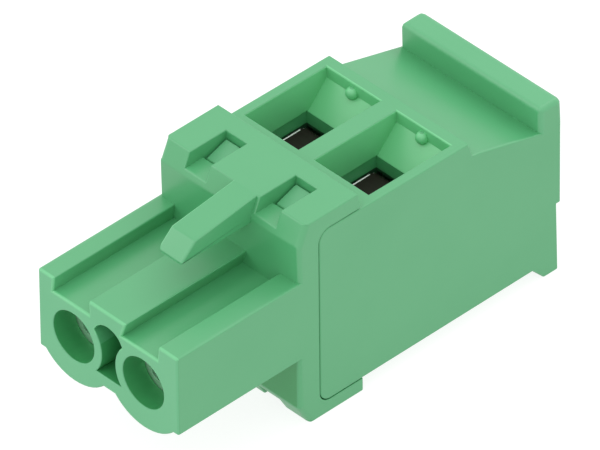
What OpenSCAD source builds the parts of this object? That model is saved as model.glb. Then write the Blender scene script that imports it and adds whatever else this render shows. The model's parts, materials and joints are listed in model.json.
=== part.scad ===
// Two-pole pluggable terminal block, plug half, with spring-cage wire clamps.
//
// The front housing carries the round pin holes, the keyed nose and the latch finger. The rear
// housing snaps into it from behind and holds a clamp chamber for each pole. A stamped contact
// runs through both, and a cage spring sits on its rear end: the driver goes down the funnel
// and presses the upper leg, and the wire comes in from behind, under the contact's bar.
//
// X runs across the poles, Y from the nose face to the wire side, Z up. The origin is the
// middle of the footprint, on the plane that the block rests on. Names that end in _y are
// stations behind the nose face, and names that end in _h are heights above that plane.

/* [Overall] */
// Distance between the two pole centres
pitch = 5.08; // [5:0.02:5.6]
// Length from the nose face to the rear hood
length = 27; // [26.6:0.1:29]
// Height from the rest plane to the top plate
height = 12.95; // [12.8:0.05:13.6]
// Height of the pin axis above the rest plane
axis_h = 6.45; // [6.35:0.05:6.6]

/* [Plug nose] */
// Length of the nose in front of the shoulder
nose_len = 8.4; // [8:0.1:9]
// Height of the nose walls above the pin axis
nose_rise = 3; // [2.9:0.05:3.3]
// Depth of the two key channels on top of the nose
channel_depth = 0.9; // [0.7:0.05:1]
// Depth of the flat undersides below the pin axis
nose_low = 1.98; // [1.9:0.02:2.1]
// Outer radius of the barrels round the pin holes
barrel_r = 2.9; // [2.8:0.05:3]
// Thickness of the left nose wall at its top
left_wall_t = 1.16; // [1:0.02:1.3]
// Thickness of the right nose wall at its top
right_wall_t = 1.39; // [1.2:0.01:1.5]
// Reach of the middle ridge to the left of the centre line
ridge_left = 1.38; // [1.2:0.02:1.5]
// Reach of the middle ridge to the right of the centre line
ridge_right = 1.3; // [1.1:0.02:1.4]
// Lean of the channel's outer walls over their height
channel_draft = 0.1; // [0:0.02:0.16]
// Undercut of the ridge's right flank, which keys the plug
dovetail = 0.3; // [0.1:0.02:0.4]

/* [Pin holes] */
// Radius of the pin holes
bore_r = 1.5; // [1.35:0.05:1.55]
// Length of the round guide at the mouth of a pin hole
bore_len = 1.5; // [1.1:0.1:1.8]
// Width and height of the contact room behind the guide
room_w = 3.1; // [3:0.05:3.3]
// Corner radius of the contact room
room_r = 1; // [0.9:0.05:1.1]
// Depth of the core-out pocket between the pin holes
pocket_depth = 7; // [5:0.5:7.5]
// Distance from a pin axis to the pocket's side, so the wall round the hole
pocket_arc_r = 2.05; // [2:0.01:2.15]
// Radius of the pocket's roof
pocket_roof_r = 1.1; // [1:0.02:1.12]
// Height of the roof's centre above the pin axis
pocket_rise = 0.98; // [0.8:0.02:1]
// Depth of the pocket's floor below the pin axis
pocket_low = 1.25; // [1:0.05:1.35]

/* [Shoulder and plates] */
// Thickness of the shoulder wall between nose and rear housing
shoulder_t = 1.42; // [1.2:0.02:1.7]
// Thickness of the top plate
plate_t = 0.98; // [0.9:0.02:1.1]
// Thickness of the bottom plate, which is also the height of the feet
foot_t = 0.8; // [0.7:0.05:0.9]
// Reach of the top plate behind the shoulder
plate_reach = 2.73; // [2.6:0.01:3]
// Slant of the top plate's rear end
plate_slant = 0.21; // [0:0.01:0.3]
// Reach of the bottom plate behind the shoulder
foot_reach = 3.05; // [2.9:0.05:3.3]
// Height of the raked face at the top of the shoulder
rake_rise = 1.2; // [1:0.05:1.3]
// Run of the raked face at the top of the shoulder
rake_run = 0.53; // [0.3:0.01:0.6]
// Height of the raked face at the bottom of the shoulder
low_rake_rise = 1.25; // [1:0.05:1.4]
// Run of the raked face at the bottom of the shoulder
low_rake_run = 0.72; // [0.5:0.02:0.8]
// Width of the snap windows
window_w = 1.5; // [1.3:0.02:1.7]
// Width of the bar left behind a snap window
window_bar = 1.13; // [1:0.01:1.3]
// Height of the ledge in front of a snap window above the plate's underside
window_sill = 0.1; // [0.04:0.02:0.2]

/* [Latch finger] */
// Width of the finger
finger_w = 1.75; // [1.5:0.05:1.9]
// Distance from the finger's right side to the right snap window
finger_inset = 0.19; // [0.1:0.01:0.3]
// Station of the finger's tip
finger_tip_y = 3.65; // [3.2:0.05:4.2]
// Fall of the finger's back from the plate to the head
finger_fall = 0.52; // [0.4:0.02:0.7]
// Run of the ramp at the finger's head
finger_ramp_run = 1; // [0.8:0.05:1.2]
// Fall of the ramp at the finger's head
finger_ramp_fall = 0.92; // [0.8:0.02:1.05]
// Height of the blunt edge at the finger's tip
finger_nose = 0.1; // [0.05:0.01:0.4]
// Cut off the tip's left corner
finger_cut = 0.2; // [0.1:0.05:0.5]

/* [Rear housing] */
// Gap all round between the front and rear housings
seam_gap = 0.05; // [0.04:0.01:0.09]
// Radius of the rear housing's front edges along the seam
seam_r = 0.7; // [0.5:0.05:0.9]
// Fall of the frame's top from front to rear
frame_fall = 0.12; // [0:0.02:0.2]
// Height of the step behind the frame
step_drop = 0.93; // [0.7:0.01:1.1]
// Run of the step behind the frame
step_run = 0.32; // [0.2:0.02:0.5]
// Length of the level foot of the step
step_foot = 0.45; // [0.3:0.05:0.7]
// Fall of that level foot
step_foot_fall = 0.07; // [0:0.01:0.1]
// Fall of the sloping back from the step to the lip
ramp_fall = 1.21; // [1:0.02:1.4]
// Height of the lip above the end of the slope
lip_rise = 1.53; // [1.3:0.02:1.8]
// Thickness of the lip
lip_w = 1.6; // [1.4:0.02:1.9]
// Radius of the lip's rear edge
lip_r = 0.4; // [0.2:0.02:0.5]
// Height of the hood's lower edge
hood_h = 4.33; // [4.1:0.01:4.5]
// Reach of the hood behind the lower rear face
hood_out = 0.35; // [0.2:0.01:0.45]
// Slant of the lower rear face
rear_draft = 0.1; // [0:0.02:0.15]
// Length of the rear foot's underside
rear_foot_len = 1; // [0.8:0.02:1.3]
// Run of the slope in front of the rear foot
rear_foot_run = 0.81; // [0.5:0.01:1]
// Height of the snap hooks on the frame
hook_rise = 0.55; // [0.4:0.01:0.65]
// Clearance round a snap hook in its window
hook_gap = 0.05; // [0.03:0.01:0.08]

/* [Driver funnels] */
// Width of a funnel's mouth and of the clamp chamber below it
funnel_w = 3.9; // [3.7:0.02:4]
// Length of a funnel's mouth
funnel_len = 5.72; // [5.5:0.02:6]
// Rim between the top plate and a funnel
front_rim = 1.33; // [1.2:0.01:1.5]
// Rim behind a funnel
rear_rim = 0.73; // [0.6:0.01:0.9]
// Depth of the upright part of the funnel's rear wall
funnel_lip = 0.7; // [0.5:0.05:0.9]
// Run of the sloping rear wall
funnel_run = 1.42; // [1.2:0.02:1.6]
// Height of the funnel's throat above the pin axis
throat_rise = 3.25; // [3.15:0.05:3.4]
// Undercut of the side walls where the chamber starts
throat_step = 0.07; // [0.04:0.01:0.1]
// Radius of the round stop on the sloping rear wall
nub_r = 0.36; // [0.3:0.02:0.5]

/* [Clamp chambers] */
// Clearance above the spring, under the chamber's roof
roof_gap = 0.28; // [0.2:0.02:0.35]
// Length of the ledge that carries the contact, up to the wire stop
ledge_len = 3.6; // [3:0.1:4]
// Depth of the chamber's floor below the pin axis
chamber_low = 4.35; // [4.2:0.05:4.5]
// Length of the chamber behind the funnel's throat
chamber_tail = 2.22; // [2:0.02:2.6]
// Radius of the wire entries
wire_r = 1.8; // [1.6:0.05:1.9]
// Distance from the contact's bar down to the wire axis
wire_drop = 1.2; // [1.1:0.05:1.4]
// Growth of the wire entry's radius at its mouth
wire_flare = 0.35; // [0.2:0.05:0.45]
// Length of the flared mouth of a wire entry
flare_len = 1.4; // [1:0.1:1.8]

/* [Contacts] */
// Thickness of the contact's strip
contact_t = 0.5; // [0.4:0.05:0.6]
// Distance from the pin axis down to the contact's underside
bar_drop = 1.15; // [1.1:0.01:1.2]
// Length of the collar at the contact's front end
collar_len = 0.6; // [0.5:0.05:0.8]
// Clearance round the collar in its room
collar_gap = 0.05; // [0.03:0.01:0.08]
// Width of the strip that runs from the collar under the leaves
neck_w = 1.4; // [1:0.05:1.4]
// Clearance beside the contact's side walls in their room
contact_gap = 0.3; // [0.25:0.01:0.4]
// Height of the contact's side walls above the pin axis
contact_rise = 0.9; // [0.7:0.05:1]
// Thickness of the two spring leaves
leaf_t = 0.4; // [0.3:0.05:0.45]
// Height of the leaves above and below the pin axis
leaf_half = 0.6; // [0.5:0.05:0.8]
// Gap between the leaves at their closest
leaf_gap = 0.8; // [0.6:0.05:0.9]
// Station where the leaves come closest
leaf_pinch_y = 3; // [2.6:0.1:3.4]
// Station where the leaves leave the side walls
leaf_root_y = 6; // [5.5:0.1:6.5]
// Outward flare of the leaves at their tips
leaf_flare = 0.25; // [0.1:0.05:0.3]
// Gap between the collar and the leaves' tips
leaf_front = 0.12; // [0.1:0.02:0.3]
// Clearance beside the contact's wide part in the chamber
ear_gap = 0.1; // [0.06:0.01:0.15]
// Depth of the lug that holds the contact in the rear housing
lug_drop = 0.5; // [0.3:0.05:0.7]
// Width of the contact's tail, which runs through the cage
tail_w = 2.1; // [1.9:0.05:2.2]
// Distance from the cage's tab forward to the end of the wide part
ear_back = 2.2; // [2:0.1:2.6]
// Clearance of contact and spring parts that rest on each other
seat_gap = 0.03; // [0.02:0.01:0.04]

/* [Cage springs] */
// Thickness of the spring strip
spring_t = 0.3; // [0.25:0.01:0.32]
// Clearance beside the spring in its chamber
spring_gap = 0.16; // [0.14:0.01:0.3]
// Outer height of the spring over its two legs
spring_rise = 3.09; // [2.95:0.01:3.1]
// Room in front of the spring's loop
loop_gap = 1; // [0.7:0.05:1.2]
// Gap between the tab and the funnel's throat behind it
tab_gap = 0.08; // [0.06:0.01:0.2]
// Outer radius of the bend from the upper leg into the tab
bend_r = 0.42; // [0.38:0.01:0.6]
// Width of the tab's slot
slot_w = 2.4; // [2.3:0.02:2.6]
// Height of the strip left above the tab's slot
slot_bridge = 0.8; // [0.7:0.02:0.85]
// Height of the clamping edge below the tab's slot
edge_w = 1; // [0.8:0.05:1.1]
// Corner radius of the tab's lower end
tab_r = 0.4; // [0.2:0.05:0.5]
// Length of the lower leg behind the tab
leg_tail = 0.85; // [0.6:0.05:1]

/* [Hidden] */
$fn = 64;
// overlap of a cutting tool past the face that it cuts
cut = 0.5;
pole_x = pitch / 2;
half_w = pitch;
// nose
nose_top_h = axis_h + nose_rise;
channel_h = nose_top_h - channel_depth;
// shoulder, plates and the seam between the housings
seam_y = nose_len + shoulder_t;
rear_y = seam_y + seam_gap;
plate_h = height - plate_t;
frame_h = plate_h - seam_gap;
belly_h = foot_t + seam_gap;
plate_end_y = seam_y + plate_reach;
foot_end_y = seam_y + foot_reach;
window_end_y = plate_end_y - window_bar;
// latch finger
finger_right = pole_x - window_w / 2 - finger_inset;
finger_left = finger_right - finger_w;
finger_root_y = nose_len + rake_run;
finger_head_h = height - finger_fall;
finger_tip_h = finger_head_h - finger_ramp_fall;
finger_under_h = finger_tip_h - finger_nose;
// frame, funnels and the sloping back
funnel_y = plate_end_y + front_rim;
funnel_end_y = funnel_y + funnel_len;
frame_end_y = funnel_end_y + rear_rim;
frame_end_h = frame_h - frame_fall;
step_h = frame_end_h - step_drop;
ramp_end_h = step_h - step_foot_fall - ramp_fall;
lip_y = length - lip_w;
lip_h = ramp_end_h + lip_rise;
under_hood_y = length - hood_out;
throat_h = axis_h + throat_rise;
throat_end_y = funnel_end_y - funnel_run;
funnel_slope_h = frame_end_h - funnel_lip;
// contacts
bar_low_h = axis_h - bar_drop;
bar_top_h = bar_low_h + contact_t;
collar_y = bore_len + seat_gap;
collar_end_y = collar_y + collar_len;
collar_x = room_w / 2 - collar_gap;
neck_low_h = axis_h - collar_x + seat_gap;
contact_x = room_w / 2 - contact_gap;
ear_x = funnel_w / 2 - ear_gap;
// cage springs
leg_low_h = bar_top_h + seat_gap;
spring_top_h = leg_low_h + spring_rise;
loop_r = spring_rise / 2;
loop_y = rear_y + loop_gap + loop_r;
loop_h = leg_low_h + loop_r;
tab_y = throat_end_y - tab_gap;
spring_x = funnel_w / 2 - spring_gap;
slot_top_h = spring_top_h - slot_bridge;
edge_h = bar_low_h - seat_gap;
tab_end_h = edge_h - edge_w;
ear_end_y = tab_y - ear_back;
// chambers and wire entries
roof_h = spring_top_h + roof_gap;
ledge_h = bar_low_h - seat_gap;
ledge_end_y = rear_y + ledge_len;
chamber_end_y = throat_end_y + chamber_tail;
chamber_h = axis_h - chamber_low;
tail_roof_h = leg_low_h + 3 * spring_t;
tail_end_y = chamber_end_y - 2 * ear_gap;
wire_h = bar_low_h - wire_drop;
flare_y = length - flare_len;

// A side profile, drawn as station and height, extruded across the block.
module across(x0, x1) {
    translate([x0, 0, 0])
        rotate([90, 0, 90])
            linear_extrude(x1 - x0)
                children();
}

// A cross-section, drawn as X and height, extruded along the block.
module along(y0, y1) {
    translate([0, y1, 0])
        rotate([90, 0, 0])
            linear_extrude(y1 - y0)
                children();
}

// A plan, drawn as X and station, extruded upward.
module upward(z0, z1) {
    translate([0, 0, z0])
        linear_extrude(z1 - z0)
            children();
}

// The same shape at both poles.
module at_poles() {
    for (side = [-1, 1])
        translate([side * pole_x, 0, 0])
            children();
}

// A rectangle with four round corners.
module round_rect(x0, y0, x1, y1, r) {
    translate([x0 + r, y0])
        square([x1 - x0 - 2 * r, y1 - y0]);
    translate([x0, y0 + r])
        square([x1 - x0, y1 - y0 - 2 * r]);
    for (x = [x0 + r, x1 - r], y = [y0 + r, y1 - r])
        translate([x, y])
            circle(r);
}

// Outline of the nose: two barrels under a keyed top.
module nose_section() {
    difference() {
        union() {
            translate([-half_w, axis_h - nose_low])
                square([2 * half_w, nose_low + nose_rise]);
            intersection() {
                translate([-half_w, axis_h - barrel_r])
                    square([2 * half_w, barrel_r]);
                for (side = [-1, 1])
                    translate([side * pole_x, axis_h])
                        circle(barrel_r);
            }
        }
        left_channel();
        right_channel();
    }
}

module left_channel() {
    wall = left_wall_t - half_w;
    polygon([
        [wall - channel_draft, channel_h],
        [-ridge_left, channel_h],
        [-ridge_left, nose_top_h + cut],
        [wall, nose_top_h + cut],
        [wall, nose_top_h]
    ]);
}

module right_channel() {
    wall = half_w - right_wall_t;
    polygon([
        [ridge_right - dovetail, channel_h],
        [wall - channel_draft, channel_h],
        [wall, nose_top_h],
        [wall, nose_top_h + cut],
        [ridge_right, nose_top_h + cut],
        [ridge_right, nose_top_h]
    ]);
}

// Core-out pocket between the pin holes: it follows the walls round both holes.
module pocket_section() {
    difference() {
        union() {
            translate([0, axis_h + pocket_rise])
                circle(pocket_roof_r);
            translate([-pocket_roof_r, axis_h - pocket_low])
                square([2 * pocket_roof_r, pocket_low + pocket_rise]);
        }
        for (side = [-1, 1])
            translate([side * pole_x, axis_h])
                circle(pocket_arc_r);
    }
}

// Side profile of the shoulder and of the two plates that reach over the rear housing.
module shoulder_profile() {
    difference() {
        polygon([
            [nose_len, low_rake_rise],
            [nose_len, height - rake_rise],
            [nose_len + rake_run, height],
            [plate_end_y, height],
            [plate_end_y + plate_slant, plate_h],
            [plate_end_y + plate_slant, axis_h],
            [foot_end_y, axis_h],
            [foot_end_y, 0],
            [nose_len + low_rake_run, 0]
        ]);
        round_rect(seam_y, foot_t, length, plate_h, seam_r + seam_gap);
    }
}

// Latch finger in side view, from the top plate to the ramp at its head.
module finger_profile() {
    polygon([
        [finger_tip_y, finger_under_h],
        [finger_tip_y, finger_tip_h],
        [finger_tip_y + finger_ramp_run, finger_head_h],
        [finger_root_y, height],
        [seam_y, height],
        [seam_y, finger_under_h]
    ]);
}

// Latch finger in plan, with the left corner of its tip cut off.
module finger_plan() {
    polygon([
        [finger_left, seam_y],
        [finger_left, finger_tip_y + finger_cut],
        [finger_left + finger_cut, finger_tip_y],
        [finger_right, finger_tip_y],
        [finger_right, seam_y]
    ]);
}

module finger() {
    intersection() {
        across(finger_left, finger_right)
            finger_profile();
        upward(0, height)
            finger_plan();
    }
}

// Snap windows, open to the front above a low sill.
module snap_windows() {
    top_sill_h = plate_h + window_sill;
    top_catch_h = frame_h - seam_r - seam_gap;
    low_catch_h = belly_h + seam_r + seam_gap;
    at_poles() {
        across(-window_w / 2, window_w / 2)
            polygon([
                [nose_len - cut, top_sill_h],
                [seam_y, top_sill_h],
                [seam_y, top_catch_h],
                [window_end_y, top_catch_h],
                [window_end_y, height + cut],
                [nose_len - cut, height + cut]
            ]);
        across(-window_w / 2, window_w / 2)
            polygon([
                [nose_len - cut, foot_t],
                [seam_y, foot_t],
                [seam_y, low_catch_h],
                [window_end_y, low_catch_h],
                [window_end_y, -cut],
                [nose_len - cut, -cut]
            ]);
    }
}

module front_housing() {
    color("mediumseagreen")
        translate([0, -length / 2, 0])
            difference() {
                union() {
                    along(0, seam_y)
                        nose_section();
                    across(-half_w, half_w)
                        shoulder_profile();
                    finger();
                }
                snap_windows();
                at_poles() {
                    translate([0, -cut, axis_h])
                        rotate([-90, 0, 0])
                            cylinder(r = bore_r, h = bore_len + 2 * cut);
                    along(bore_len, seam_y + cut)
                        round_rect(-room_w / 2, axis_h - room_w / 2, room_w / 2, axis_h + room_w / 2,
                            room_r);
                }
                along(-cut, pocket_depth)
                    pocket_section();
            }
}

// Side profile of the rear housing, with its front edges rounded along the seam.
module rear_profile() {
    difference() {
        union() {
            round_rect(rear_y, belly_h, funnel_end_y, frame_h, seam_r);
            polygon([
                [funnel_y, belly_h],
                [funnel_y, frame_h],
                [frame_end_y, frame_h],
                [frame_end_y, frame_end_h],
                [frame_end_y + step_run, step_h],
                [frame_end_y + step_run + step_foot, step_h - step_foot_fall],
                [lip_y, ramp_end_h],
                [lip_y, lip_h],
                [length - lip_r, lip_h],
                [length, lip_h - lip_r],
                [length, hood_h],
                [under_hood_y, hood_h],
                [under_hood_y + rear_draft, 0],
                [under_hood_y + rear_draft - rear_foot_len, 0],
                [under_hood_y + rear_draft - rear_foot_len - rear_foot_run, belly_h]
            ]);
            translate([length - lip_r, lip_h - lip_r])
                circle(lip_r);
        }
        polygon([
            [rear_y + seam_r, frame_h],
            [frame_end_y + cut, frame_h - frame_fall * (frame_end_y + cut - rear_y - seam_r)
                / (frame_end_y - rear_y - seam_r)],
            [frame_end_y + cut, frame_h + cut],
            [rear_y + seam_r, frame_h + cut]
        ]);
    }
}

// One funnel: an upright front wall, a sloping rear wall and slightly tapered sides.
module funnel() {
    intersection() {
        across(-funnel_w / 2, funnel_w / 2)
            polygon([
                [funnel_y, throat_h],
                [funnel_y, frame_h + cut],
                [funnel_end_y, frame_h + cut],
                [funnel_end_y, funnel_slope_h],
                [throat_end_y, throat_h]
            ]);
        along(funnel_y, funnel_end_y)
            polygon([
                [throat_step - funnel_w / 2, throat_h],
                [funnel_w / 2 - throat_step, throat_h],
                [funnel_w / 2, frame_h],
                [funnel_w / 2, frame_h + cut],
                [-funnel_w / 2, frame_h + cut],
                [-funnel_w / 2, frame_h]
            ]);
    }
}

// Clamp chamber in side view: ledge for the contact, room for the cage, and the wire space.
module chamber_profile() {
    polygon([
        [rear_y - cut, ledge_h],
        [rear_y - cut, roof_h],
        [funnel_y, roof_h],
        [funnel_y, throat_h],
        [throat_end_y, throat_h],
        [throat_end_y, spring_top_h - bend_r / 2],
        [throat_end_y + tab_gap + spring_t, spring_top_h - bend_r / 2],
        [throat_end_y + tab_gap + spring_t, tail_roof_h],
        [chamber_end_y, tail_roof_h],
        [chamber_end_y, chamber_h],
        [ledge_end_y, chamber_h],
        [ledge_end_y, ledge_h],
        [rear_y + contact_t + 2 * seat_gap, ledge_h],
        [rear_y + contact_t + 2 * seat_gap, ledge_h - lug_drop],
        [rear_y - cut, ledge_h - lug_drop]
    ]);
}

module wire_entry() {
    translate([0, chamber_end_y - cut, wire_h])
        rotate([-90, 0, 0])
            cylinder(r = wire_r, h = length - chamber_end_y + 2 * cut);
    translate([0, flare_y, wire_h])
        rotate([-90, 0, 0])
            cylinder(r1 = wire_r, r2 = wire_r + wire_flare, h = flare_len);
}

// Snap hooks that catch the windows of both plates.
module snap_hooks() {
    hook_x = window_w / 2 - hook_gap;
    hook_end_y = window_end_y - hook_gap;
    at_poles() {
        across(-hook_x, hook_x)
            polygon([
                [rear_y + hook_gap, frame_h - seam_r],
                [rear_y + hook_gap, frame_h + hook_gap],
                [hook_end_y, frame_h + hook_rise],
                [hook_end_y, frame_h - seam_r]
            ]);
        across(-hook_x, hook_x)
            polygon([
                [rear_y + hook_gap, belly_h + seam_r],
                [rear_y + hook_gap, belly_h - hook_gap],
                [hook_end_y, belly_h - hook_rise],
                [hook_end_y, belly_h + seam_r]
            ]);
    }
}

module rear_housing() {
    color("seagreen")
        translate([0, -length / 2, 0]) {
            difference() {
                union() {
                    across(-half_w, half_w)
                        rear_profile();
                    snap_hooks();
                }
                at_poles() {
                    funnel();
                    across(-funnel_w / 2, funnel_w / 2)
                        chamber_profile();
                    wire_entry();
                }
            }
            at_poles()
                nub();
        }
}

// Round stop in the corner between the sloping wall and its upright part.
module nub() {
    translate([0, funnel_end_y - nub_r / 5, funnel_slope_h + nub_r / 3])
        sphere(nub_r);
}

// Contact in side view: the strip from the collar rises to the flat bar, and a lug is bent down
// into the rear housing.
module bar_profile() {
    lug_y = seam_y + seat_gap;
    polygon([
        [collar_end_y - contact_t / 2, neck_low_h],
        [collar_end_y - contact_t / 2, neck_low_h + contact_t],
        [leaf_root_y - 2 * contact_t, neck_low_h + contact_t],
        [leaf_root_y, bar_top_h],
        [tail_end_y, bar_top_h],
        [tail_end_y, bar_low_h],
        [rear_y + contact_t + seat_gap, bar_low_h],
        [rear_y + contact_t + seat_gap, ledge_h - lug_drop + seat_gap],
        [lug_y, ledge_h - lug_drop + seat_gap],
        [lug_y, bar_low_h],
        [leaf_root_y, bar_low_h],
        [leaf_root_y - 2 * contact_t, neck_low_h]
    ]);
}

// Contact in plan: narrow in the nose, wide on the ledge, narrow through the cage.
module bar_plan() {
    polygon([
        [-neck_w / 2, collar_y],
        [neck_w / 2, collar_y],
        [neck_w / 2, leaf_root_y],
        [contact_x, leaf_root_y],
        [contact_x, seam_y + seat_gap],
        [ear_x, seam_y + seat_gap],
        [ear_x, ear_end_y],
        [tail_w / 2, ear_end_y + ear_x - tail_w / 2],
        [tail_w / 2, tail_end_y - tail_w / 4],
        [tail_w / 4, tail_end_y],
        [-tail_w / 4, tail_end_y],
        [-tail_w / 2, tail_end_y - tail_w / 4],
        [-tail_w / 2, ear_end_y + ear_x - tail_w / 2],
        [-ear_x, ear_end_y],
        [-ear_x, seam_y + seat_gap],
        [-contact_x, seam_y + seat_gap],
        [-contact_x, leaf_root_y],
        [-neck_w / 2, leaf_root_y]
    ]);
}

// Collar at the contact's front end, which leads the pin in between the leaves.
module collar_section() {
    difference() {
        round_rect(-collar_x, axis_h - collar_x, collar_x, axis_h + collar_x, room_r - collar_gap);
        round_rect(contact_t - collar_x, axis_h - collar_x + contact_t, collar_x - contact_t,
            axis_h + collar_x - contact_t, room_r - collar_gap - contact_t);
    }
}

// One spring leaf in plan: it runs in to the pinch and flares out at the tip.
module leaf_plan() {
    pinch = leaf_gap / 2;
    tip_y = collar_end_y + leaf_front;
    polygon([
        [contact_x - leaf_t, leaf_root_y + leaf_t],
        [contact_x - leaf_t, leaf_root_y],
        [pinch, leaf_pinch_y + leaf_t / 2],
        [pinch, leaf_pinch_y - leaf_t / 2],
        [pinch + leaf_flare, tip_y],
        [pinch + leaf_flare + leaf_t, tip_y],
        [pinch + leaf_t, leaf_pinch_y - leaf_t / 2],
        [pinch + leaf_t, leaf_pinch_y + leaf_t / 2],
        [contact_x, leaf_root_y],
        [contact_x, leaf_root_y + leaf_t]
    ]);
}

module contact(pole) {
    color("silver")
        translate([pole * pole_x, -length / 2, 0]) {
            along(collar_y, collar_end_y)
                collar_section();
            intersection() {
                across(-ear_x, ear_x)
                    bar_profile();
                upward(0, height)
                    bar_plan();
            }
            for (side = [0, 1])
                mirror([side, 0, 0]) {
                    upward(axis_h - leaf_half, axis_h + leaf_half)
                        leaf_plan();
                    translate([contact_x - leaf_t, leaf_root_y, bar_low_h])
                        cube([leaf_t, seam_y - leaf_root_y, bar_drop + contact_rise]);
                }
        }
}

module contact_left() {
    contact(-1);
}

module contact_right() {
    contact(1);
}

// Cage spring in side view: lower leg, round loop, upper leg, bend and tab.
module spring_profile() {
    bend_y = tab_y - bend_r;
    bend_h = spring_top_h - bend_r;
    difference() {
        translate([loop_y, loop_h])
            circle(loop_r);
        translate([loop_y, loop_h])
            circle(loop_r - spring_t);
        translate([loop_y, loop_h - 2 * loop_r])
            square([2 * loop_r, 4 * loop_r]);
    }
    translate([loop_y, leg_low_h])
        square([tab_y + leg_tail - loop_y, spring_t]);
    translate([loop_y, spring_top_h - spring_t])
        square([bend_y - loop_y, spring_t]);
    difference() {
        translate([bend_y, bend_h])
            circle(bend_r);
        translate([bend_y, bend_h])
            circle(bend_r - spring_t);
        translate([bend_y - 2 * bend_r, bend_h - 2 * bend_r])
            square([2 * bend_r, 4 * bend_r]);
        translate([bend_y, bend_h - 2 * bend_r])
            square([2 * bend_r, 2 * bend_r]);
    }
    translate([tab_y - spring_t, tab_end_h])
        square([spring_t, bend_h - tab_end_h]);
}

// Cage spring in plan: the lower leg narrows before it runs through the tab's slot.
module leg_trim() {
    neck_y = ear_end_y + spring_x - tail_w / 2;
    for (side = [0, 1])
        mirror([side, 0, 0])
            upward(leg_low_h - cut, leg_low_h + 2 * spring_t)
                polygon([
                    [tail_w / 2, neck_y],
                    [spring_x + cut, ear_end_y - cut],
                    [spring_x + cut, tab_y - 2 * spring_t],
                    [tail_w / 2, tab_y - 2 * spring_t]
                ]);
}

module leg_end_trim() {
    for (side = [0, 1])
        mirror([side, 0, 0])
            translate([tail_w / 2, tab_y + spring_t / 10, leg_low_h - cut])
                cube([spring_x, leg_tail + cut, 2 * cut]);
}

// Slot in the tab, from the clamping edge up to the bridge below the bend.
module tab_slot() {
    translate([-slot_w / 2, tab_y - spring_t - cut / 4, edge_h])
        cube([slot_w, spring_t + cut / 2, slot_top_h - edge_h]);
}

module clamp_spring(pole) {
    color("dimgray")
        translate([pole * pole_x, -length / 2, 0])
            intersection() {
                union() {
                    difference() {
                        across(-spring_x, spring_x)
                            spring_profile();
                        tab_slot();
                        leg_trim();
                        leg_end_trim();
                    }
                    translate([-tail_w / 2, tab_y - 2 * spring_t - cut, leg_low_h])
                        cube([tail_w, 2 * spring_t + cut + leg_tail, spring_t]);
                }
                along(0, length)
                    round_rect(-spring_x, tab_end_h, spring_x, height + spring_x, tab_r);
            }
}

module clamp_spring_left() {
    clamp_spring(-1);
}

module clamp_spring_right() {
    clamp_spring(1);
}

front_housing();
rear_housing();
contact_left();
contact_right();
clamp_spring_left();
clamp_spring_right();
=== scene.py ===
import json
import math

import bmesh
import bpy
from mathutils import Matrix, Vector


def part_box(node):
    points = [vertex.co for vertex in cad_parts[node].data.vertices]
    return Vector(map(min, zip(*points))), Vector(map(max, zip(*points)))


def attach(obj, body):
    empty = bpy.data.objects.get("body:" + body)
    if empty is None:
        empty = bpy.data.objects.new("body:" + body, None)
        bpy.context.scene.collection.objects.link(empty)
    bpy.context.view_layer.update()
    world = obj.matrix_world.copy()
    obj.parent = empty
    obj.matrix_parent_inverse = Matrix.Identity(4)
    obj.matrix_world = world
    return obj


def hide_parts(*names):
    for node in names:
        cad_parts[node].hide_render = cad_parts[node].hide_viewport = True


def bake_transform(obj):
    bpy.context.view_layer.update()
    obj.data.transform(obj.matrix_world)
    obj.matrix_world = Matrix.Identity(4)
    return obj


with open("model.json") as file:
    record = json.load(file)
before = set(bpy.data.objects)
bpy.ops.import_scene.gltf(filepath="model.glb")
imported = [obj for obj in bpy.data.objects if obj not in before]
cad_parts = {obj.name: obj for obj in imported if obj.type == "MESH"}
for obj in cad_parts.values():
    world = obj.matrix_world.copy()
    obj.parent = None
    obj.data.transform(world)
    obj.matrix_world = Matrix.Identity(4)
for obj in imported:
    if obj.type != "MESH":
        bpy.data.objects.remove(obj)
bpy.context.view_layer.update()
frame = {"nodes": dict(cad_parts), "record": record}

bl_info = {
    "name": "Pluggable terminal block",
    "version": (1, 0, 0),
    "blender": (4, 5, 0),
    "location": "3D view > Sidebar > Terminal block",
    "description": "Dresses the moulded plug, its contacts and its cage springs, with a small studio",
    "category": "Object",
}

MM = 0.001
PLUG = "plug"
POLES = ("left", "right")

# Places on the plug, in millimetres

PIN_GUIDE = next(mount for mount in frame["record"]["mounts"] if mount["name"] == "pin_entry_right")
POLE_X, PIN_Y, PIN_Z = (value / MM for value in PIN_GUIDE["pos_m"])
PIN_HOLE_R = PIN_GUIDE["dims"]["r_mm"]
PIN_RIM_R = PIN_HOLE_R + 0.1
PIN_ROOM_R = PIN_HOLE_R + 0.2
PIN_WALL_R = PIN_HOLE_R + 0.3
PIN_GUIDE_END_Y = PIN_Y + PIN_GUIDE["dims"]["length_mm"] / 2
NOSE_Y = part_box("front_housing")[0].y / MM
SIDE_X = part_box("front_housing")[1].x / MM - 0.18

# Places on the front housing, each as its bounds of X, Y and Z

ANY = (-math.inf, math.inf)
NOSE_FACE = (ANY, (-math.inf, NOSE_Y + 0.05), ANY)
NOSE_TOP_EDGE = (ANY, (-math.inf, NOSE_Y + 0.2), (7.6, math.inf))
POCKET_RIM = ((-1.2, 1.2), ANY, (5.0, 8.7))
# painted shade: the pocket's low walls and the pin rooms get the darker holes tone
POCKET_LOW_WALLS = ((-1.2, 1.2), (NOSE_Y, -3.6), (3.5, 7.2))
PIN_ROOMS = (ANY, (NOSE_Y, -3.6), ANY)
SHOULDER_FRONT = (ANY, (-5.2, -4.5), ANY)
SEAM_CUT_OUT = (ANY, (-4.3, math.inf), (0.7, 12.3))
TOP_PLATE_END = (ANY, (-1.2, math.inf), (12.0, math.inf))
FINGER_LEFT_EDGE = ((-0.2, 0.0), (-9.9, -4.9), (10.5, math.inf))

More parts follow.
